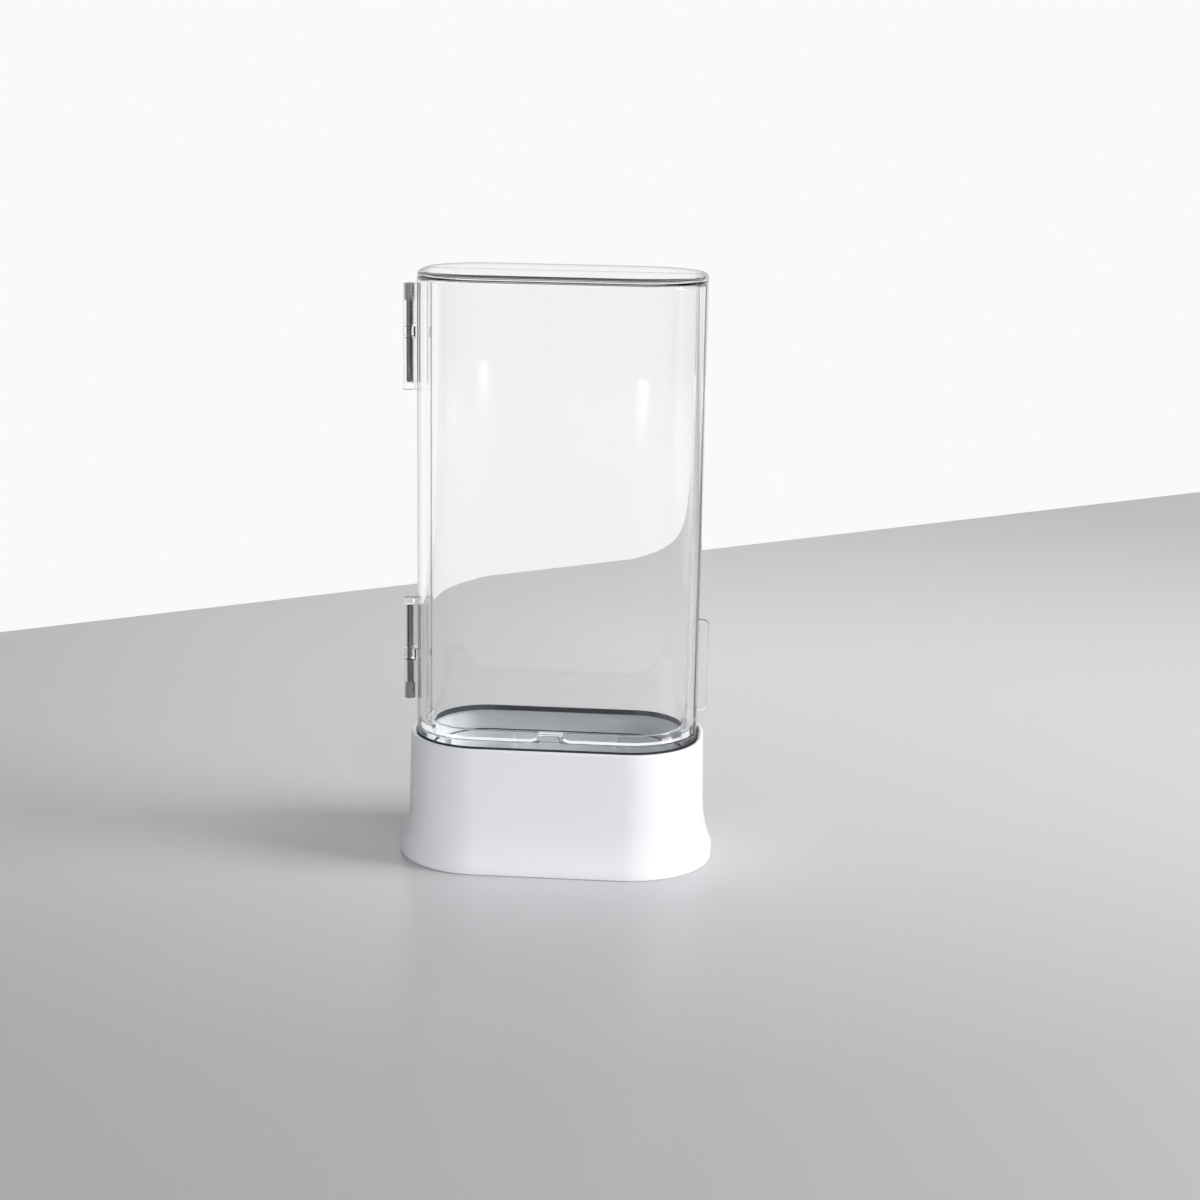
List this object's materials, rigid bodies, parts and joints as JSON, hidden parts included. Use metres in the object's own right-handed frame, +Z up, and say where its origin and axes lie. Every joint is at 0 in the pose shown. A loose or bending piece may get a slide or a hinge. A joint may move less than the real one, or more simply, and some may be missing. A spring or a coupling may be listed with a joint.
{
  "type": "herb keeper",
  "caption": "Clear upright herb keeper: two hinged half shells that open like a book, standing in a white flared water base.",
  "frame": {"origin": "centre of the foot, on the surface that the keeper stands on", "axes": "+Z up; the door faces -Y; +X is to the right seen from the door, and the hinges are on the -X end"},
  "size_m": [0.1296, 0.0794, 0.24],
  "materials": {
    "white_plastic": "smooth moulded white plastic, satin gloss",
    "clear_plastic": "clear moulded plastic, polished",
    "seal_rubber": "dark soft seal, satin",
    "pin_steel": "bright steel wire with a knurled head"
  },
  "bodies": {
    "base": {"base": "white_plastic"},
    "pod": {"rear_shell": "clear_plastic", "seal_ring": "seal_rubber", "upper_hinge_pin": "pin_steel", "lower_hinge_pin": "pin_steel"},
    "door": {"front_door": "clear_plastic"}
  },
  "joints": [
    {"name": "pod_lift", "type": "slide", "parent": "base", "child": "pod", "axis": [0, 0, 1], "range_m": [0, 0.06]},
    {"name": "door_hinge", "type": "hinge", "parent": "pod", "child": "door", "pos_m": [-0.0617, 0, 0.148], "axis": [0, 0, -1], "range_deg": [0, 180]}
  ]
}
